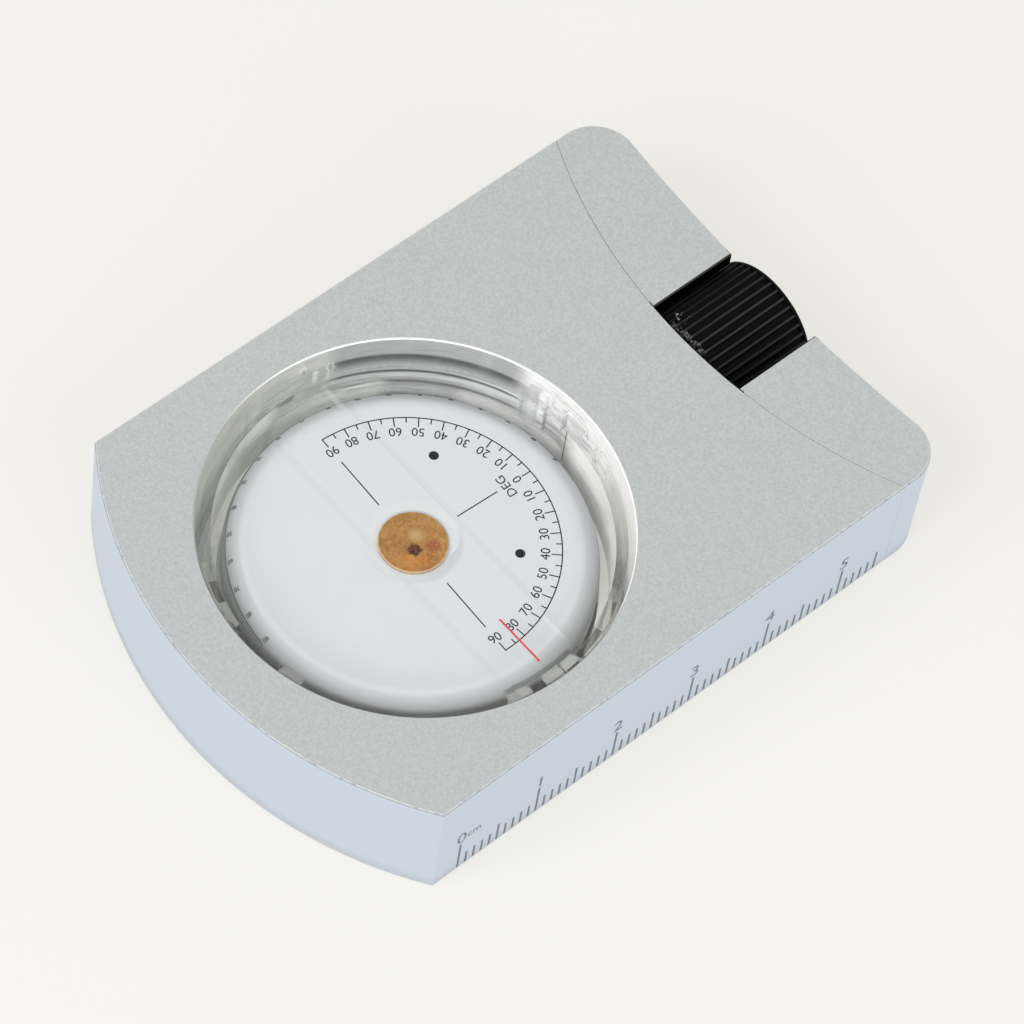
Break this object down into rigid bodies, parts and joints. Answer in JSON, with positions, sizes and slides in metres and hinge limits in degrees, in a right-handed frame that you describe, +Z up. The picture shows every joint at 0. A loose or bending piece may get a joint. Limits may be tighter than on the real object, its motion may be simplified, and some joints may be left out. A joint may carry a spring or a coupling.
{
  "type": "clinometer",
  "caption": "Pocket sighting clinometer: flat aluminium body with a liquid-filled capsule and floating degree card, a focusing eyepiece in the rear end and a ruled edge",
  "frame": {"origin": "middle of the flat base, under the middle of the whole length, width and height", "axes": "+X from the rounded nose to the eyepiece, +Y to the edge without a ruler, +Z up through the dial"},
  "size_m": [0.0746, 0.0524, 0.014],
  "materials": {
    "satin_aluminium": "bead-blasted, clear anodised",
    "black_aluminium": "black anodised",
    "clear_plastic": "clear, polished",
    "steel": "ground",
    "seal_rubber": "pale, matt",
    "white_plastic": "smooth, matt",
    "red_ink": "bright red, matt",
    "black_ink": "matt",
    "amber_resin": "cloudy amber",
    "ruby": "polished",
    "brass": "turned",
    "black_steel": "blackened",
    "lens_glass": "polished, clear",
    "black_plastic": "moulded, satin"
  },
  "bodies": {
    "body": {"housing": "satin_aluminium", "plain_block": "satin_aluminium", "ruled_block": "satin_aluminium", "block_dowels": "steel", "cushion_ring": "seal_rubber", "capsule_cup": "clear_plastic", "cover_seal": "seal_rubber", "capsule_cover": "clear_plastic", "fill_plug": "white_plastic", "pivot_pin": "steel", "index_line": "red_ink", "sight_line": "black_ink", "field_stop": "black_aluminium", "sleeve": "black_aluminium"},
    "card_unit": {"card": "white_plastic", "bush": "amber_resin", "end_stone": "ruby", "counterweight": "brass", "weight_rivets": "black_steel"},
    "lens_carriage": {"lens_cell": "black_aluminium", "eye_lens": "lens_glass", "lens_ring": "black_aluminium", "key_pin": "steel"},
    "ring_unit": {"focus_ring": "black_plastic", "ring_clip": "black_plastic", "stop_screw": "steel"}
  },
  "joints": [
    {"name": "card_swing", "type": "hinge", "parent": "body", "child": "card_unit", "pos_m": [-0.01, 0, 0.0098], "axis": [0, 0, 1], "continuous": true},
    {"name": "lens_travel", "type": "slide", "parent": "body", "child": "lens_carriage", "axis": [1, 0, 0], "range_m": [-0.0003, 0.0009]},
    {"name": "focus_turn", "type": "hinge", "parent": "lens_carriage", "child": "ring_unit", "pos_m": [0.0316, 0, 0.007], "axis": [1, 0, 0], "range_deg": [-90, 270]}
  ],
  "couplings": [
    {"joint": "focus_turn", "follows": "lens_travel", "rad_per_m": 5236}
  ]
}
